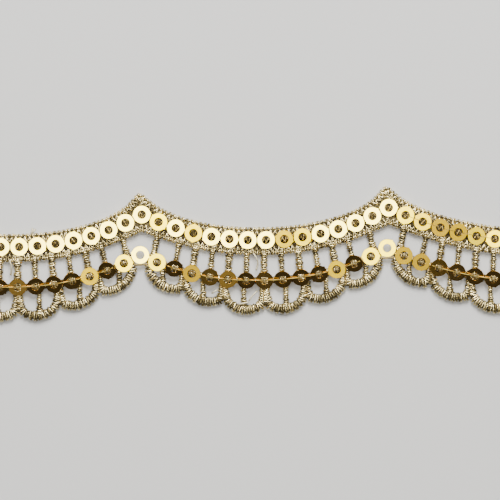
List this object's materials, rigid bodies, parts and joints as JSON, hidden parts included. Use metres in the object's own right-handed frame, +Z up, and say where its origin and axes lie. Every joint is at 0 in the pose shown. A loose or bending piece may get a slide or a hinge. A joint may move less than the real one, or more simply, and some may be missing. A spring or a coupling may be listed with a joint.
{
  "type": "lace trim",
  "caption": "Cut length of flat scalloped lace edging in gold metallic thread: peaked heading, ladder of rungs, looped scallops and two sewn rows of flat ring sequins.",
  "frame": {"origin": "on the back of the heading, under the middle sequin of a valley", "axes": "+X along the trim, +Y across it towards the peaks of the heading, +Z up from the back of the lace to the sequins"},
  "size_m": [0.0895, 0.0215, 0.0016],
  "materials": {
    "metallic_thread": "metallic thread, satin stitched",
    "sequin_film": "mirror-like metallised film"
  },
  "bodies": {
    "root": {"lace_ground": "metallic_thread", "sequin_upper_01": "sequin_film", "sequin_upper_02": "sequin_film", "sequin_upper_03": "sequin_film", "sequin_upper_04": "sequin_film", "sequin_upper_05": "sequin_film", "sequin_upper_06": "sequin_film", "sequin_upper_07": "sequin_film", "sequin_upper_08": "sequin_film", "sequin_upper_09": "sequin_film", "sequin_upper_10": "sequin_film", "sequin_upper_11": "sequin_film", "sequin_upper_12": "sequin_film", "sequin_upper_13": "sequin_film", "sequin_upper_14": "sequin_film", "sequin_upper_15": "sequin_film", "sequin_upper_16": "sequin_film", "sequin_upper_17": "sequin_film", "sequin_upper_18": "sequin_film", "sequin_upper_19": "sequin_film", "sequin_upper_20": "sequin_film", "sequin_upper_21": "sequin_film", "sequin_upper_22": "sequin_film", "sequin_upper_23": "sequin_film", "sequin_upper_24": "sequin_film", "sequin_upper_25": "sequin_film", "sequin_upper_26": "sequin_film", "sequin_upper_27": "sequin_film", "sequin_upper_28": "sequin_film", "sequin_upper_29": "sequin_film", "sequin_lower_01": "sequin_film", "sequin_lower_02": "sequin_film", "sequin_lower_03": "sequin_film", "sequin_lower_04": "sequin_film", "sequin_lower_05": "sequin_film", "sequin_lower_06": "sequin_film", "sequin_lower_07": "sequin_film", "sequin_lower_08": "sequin_film", "sequin_lower_09": "sequin_film", "sequin_lower_10": "sequin_film", "sequin_lower_11": "sequin_film", "sequin_lower_12": "sequin_film", "sequin_lower_13": "sequin_film", "sequin_lower_14": "sequin_film", "sequin_lower_15": "sequin_film", "sequin_lower_16": "sequin_film", "sequin_lower_17": "sequin_film", "sequin_lower_18": "sequin_film", "sequin_lower_19": "sequin_film", "sequin_lower_20": "sequin_film", "sequin_lower_21": "sequin_film", "sequin_lower_22": "sequin_film", "sequin_lower_23": "sequin_film", "sequin_lower_24": "sequin_film", "sequin_lower_25": "sequin_film", "sequin_lower_26": "sequin_film", "sequin_lower_27": "sequin_film", "sequin_lower_28": "sequin_film", "sequin_lower_29": "sequin_film"}
  },
  "joints": []
}
